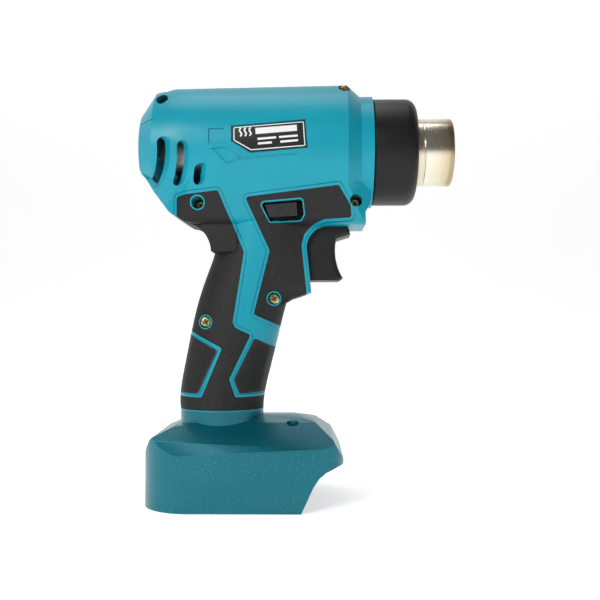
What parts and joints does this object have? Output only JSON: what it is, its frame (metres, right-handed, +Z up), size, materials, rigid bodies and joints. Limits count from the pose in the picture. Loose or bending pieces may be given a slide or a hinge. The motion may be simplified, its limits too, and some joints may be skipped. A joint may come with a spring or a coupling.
{
  "type": "cordless heat gun",
  "caption": "Pistol-grip cordless heat gun with a barrel housing, steel nozzle in a black sleeve, rubber grips, trigger, selector and a wide foot for a slide-on battery.",
  "frame": {"origin": "on the ground under the middle of the tool, in the plane where the housing halves meet", "axes": "+X towards the nozzle, +Z up, +Y to the tool's left side"},
  "size_m": [0.1554, 0.075, 0.2086],
  "materials": {
    "housing_teal": "satin moulded, fine spark texture",
    "foot_teal": "semi-gloss with metallic fleck",
    "grip_rubber": "matt speckled moulding",
    "knurled_rubber": "fine diamond texture",
    "nameplate_print": "printed film",
    "sleeve_plastic": "satin heat-resistant",
    "nozzle_steel": "bright rolled, heat-tinted straw",
    "mica": "pressed mica sheet",
    "heater_wire": "oxidised resistance wire",
    "ceramic": "unglazed",
    "inner_plastic": "plain moulded",
    "duct_plastic": "glass-filled natural",
    "fan_plastic": "plain moulded",
    "shaft_steel": "ground",
    "motor_steel": "zinc plated",
    "trigger_plastic": "satin moulded",
    "selector_plastic": "satin moulded",
    "board_laminate": "solder mask",
    "heat_sink_aluminium": "extruded",
    "screw_zinc": "yellow zinc plated",
    "rail_plastic": "moulded",
    "contact_brass": "tin-bright edges",
    "lead_insulation": "silicone insulation"
  },
  "bodies": {
    "root": {"air_duct": "duct_plastic", "battery_base": "foot_teal", "battery_leads": "lead_insulation", "blower_shroud": "inner_plastic", "capacitor": "inner_plastic", "control_board": "board_laminate", "front_grip_left": "grip_rubber", "front_grip_right": "grip_rubber", "front_pad_left": "knurled_rubber", "front_pad_right": "knurled_rubber", "front_sleeve": "sleeve_plastic", "heat_sink": "heat_sink_aluminium", "heater_coil": "heater_wire", "heater_disc": "ceramic", "heater_leads": "lead_insulation", "heater_tube": "mica", "housing_left": "housing_teal", "housing_right": "housing_teal", "housing_screws": "screw_zinc", "mica_card_flat": "mica", "mica_card_upright": "mica", "motor_can": "motor_steel", "motor_end_cap": "inner_plastic", "motor_leads": "lead_insulation", "motor_magnets": "motor_steel", "motor_screws": "screw_zinc", "nameplate_left": "nameplate_print", "nameplate_right": "nameplate_print", "nozzle_tube": "nozzle_steel", "power_transistors": "inner_plastic", "rail_plate": "rail_plastic", "rail_screws": "screw_zinc", "rear_grip_left": "grip_rubber", "rear_grip_right": "grip_rubber", "rear_pad_left": "knurled_rubber", "rear_pad_right": "knurled_rubber", "selector_guide": "inner_plastic", "switch_body": "inner_plastic", "switch_leads": "lead_insulation", "terminal_blades": "contact_brass", "terminal_block": "rail_plastic", "thermal_cutout": "inner_plastic", "trigger_spring": "shaft_steel"},
    "trigger": {"trigger": "trigger_plastic", "switch_plunger": "trigger_plastic"},
    "rotor": {"fan": "fan_plastic", "motor_shaft": "shaft_steel", "motor_armature": "shaft_steel"},
    "selector": {"selector_bar": "selector_plastic"}
  },
  "joints": [
    {"name": "trigger_pull", "type": "slide", "parent": "root", "child": "trigger", "axis": [-1, 0, 0], "range_m": [0, 0.0065], "stiffness_N_per_m": 400, "springref_m": -0.01, "deforming": ["trigger_spring"]},
    {"name": "fan_spin", "type": "hinge", "parent": "root", "child": "rotor", "pos_m": [0, 0, 0.175], "axis": [1, 0, 0], "continuous": true},
    {"name": "selector_push", "type": "slide", "parent": "root", "child": "selector", "axis": [0, 1, 0], "range_m": [-0.0025, 0.0025]}
  ]
}
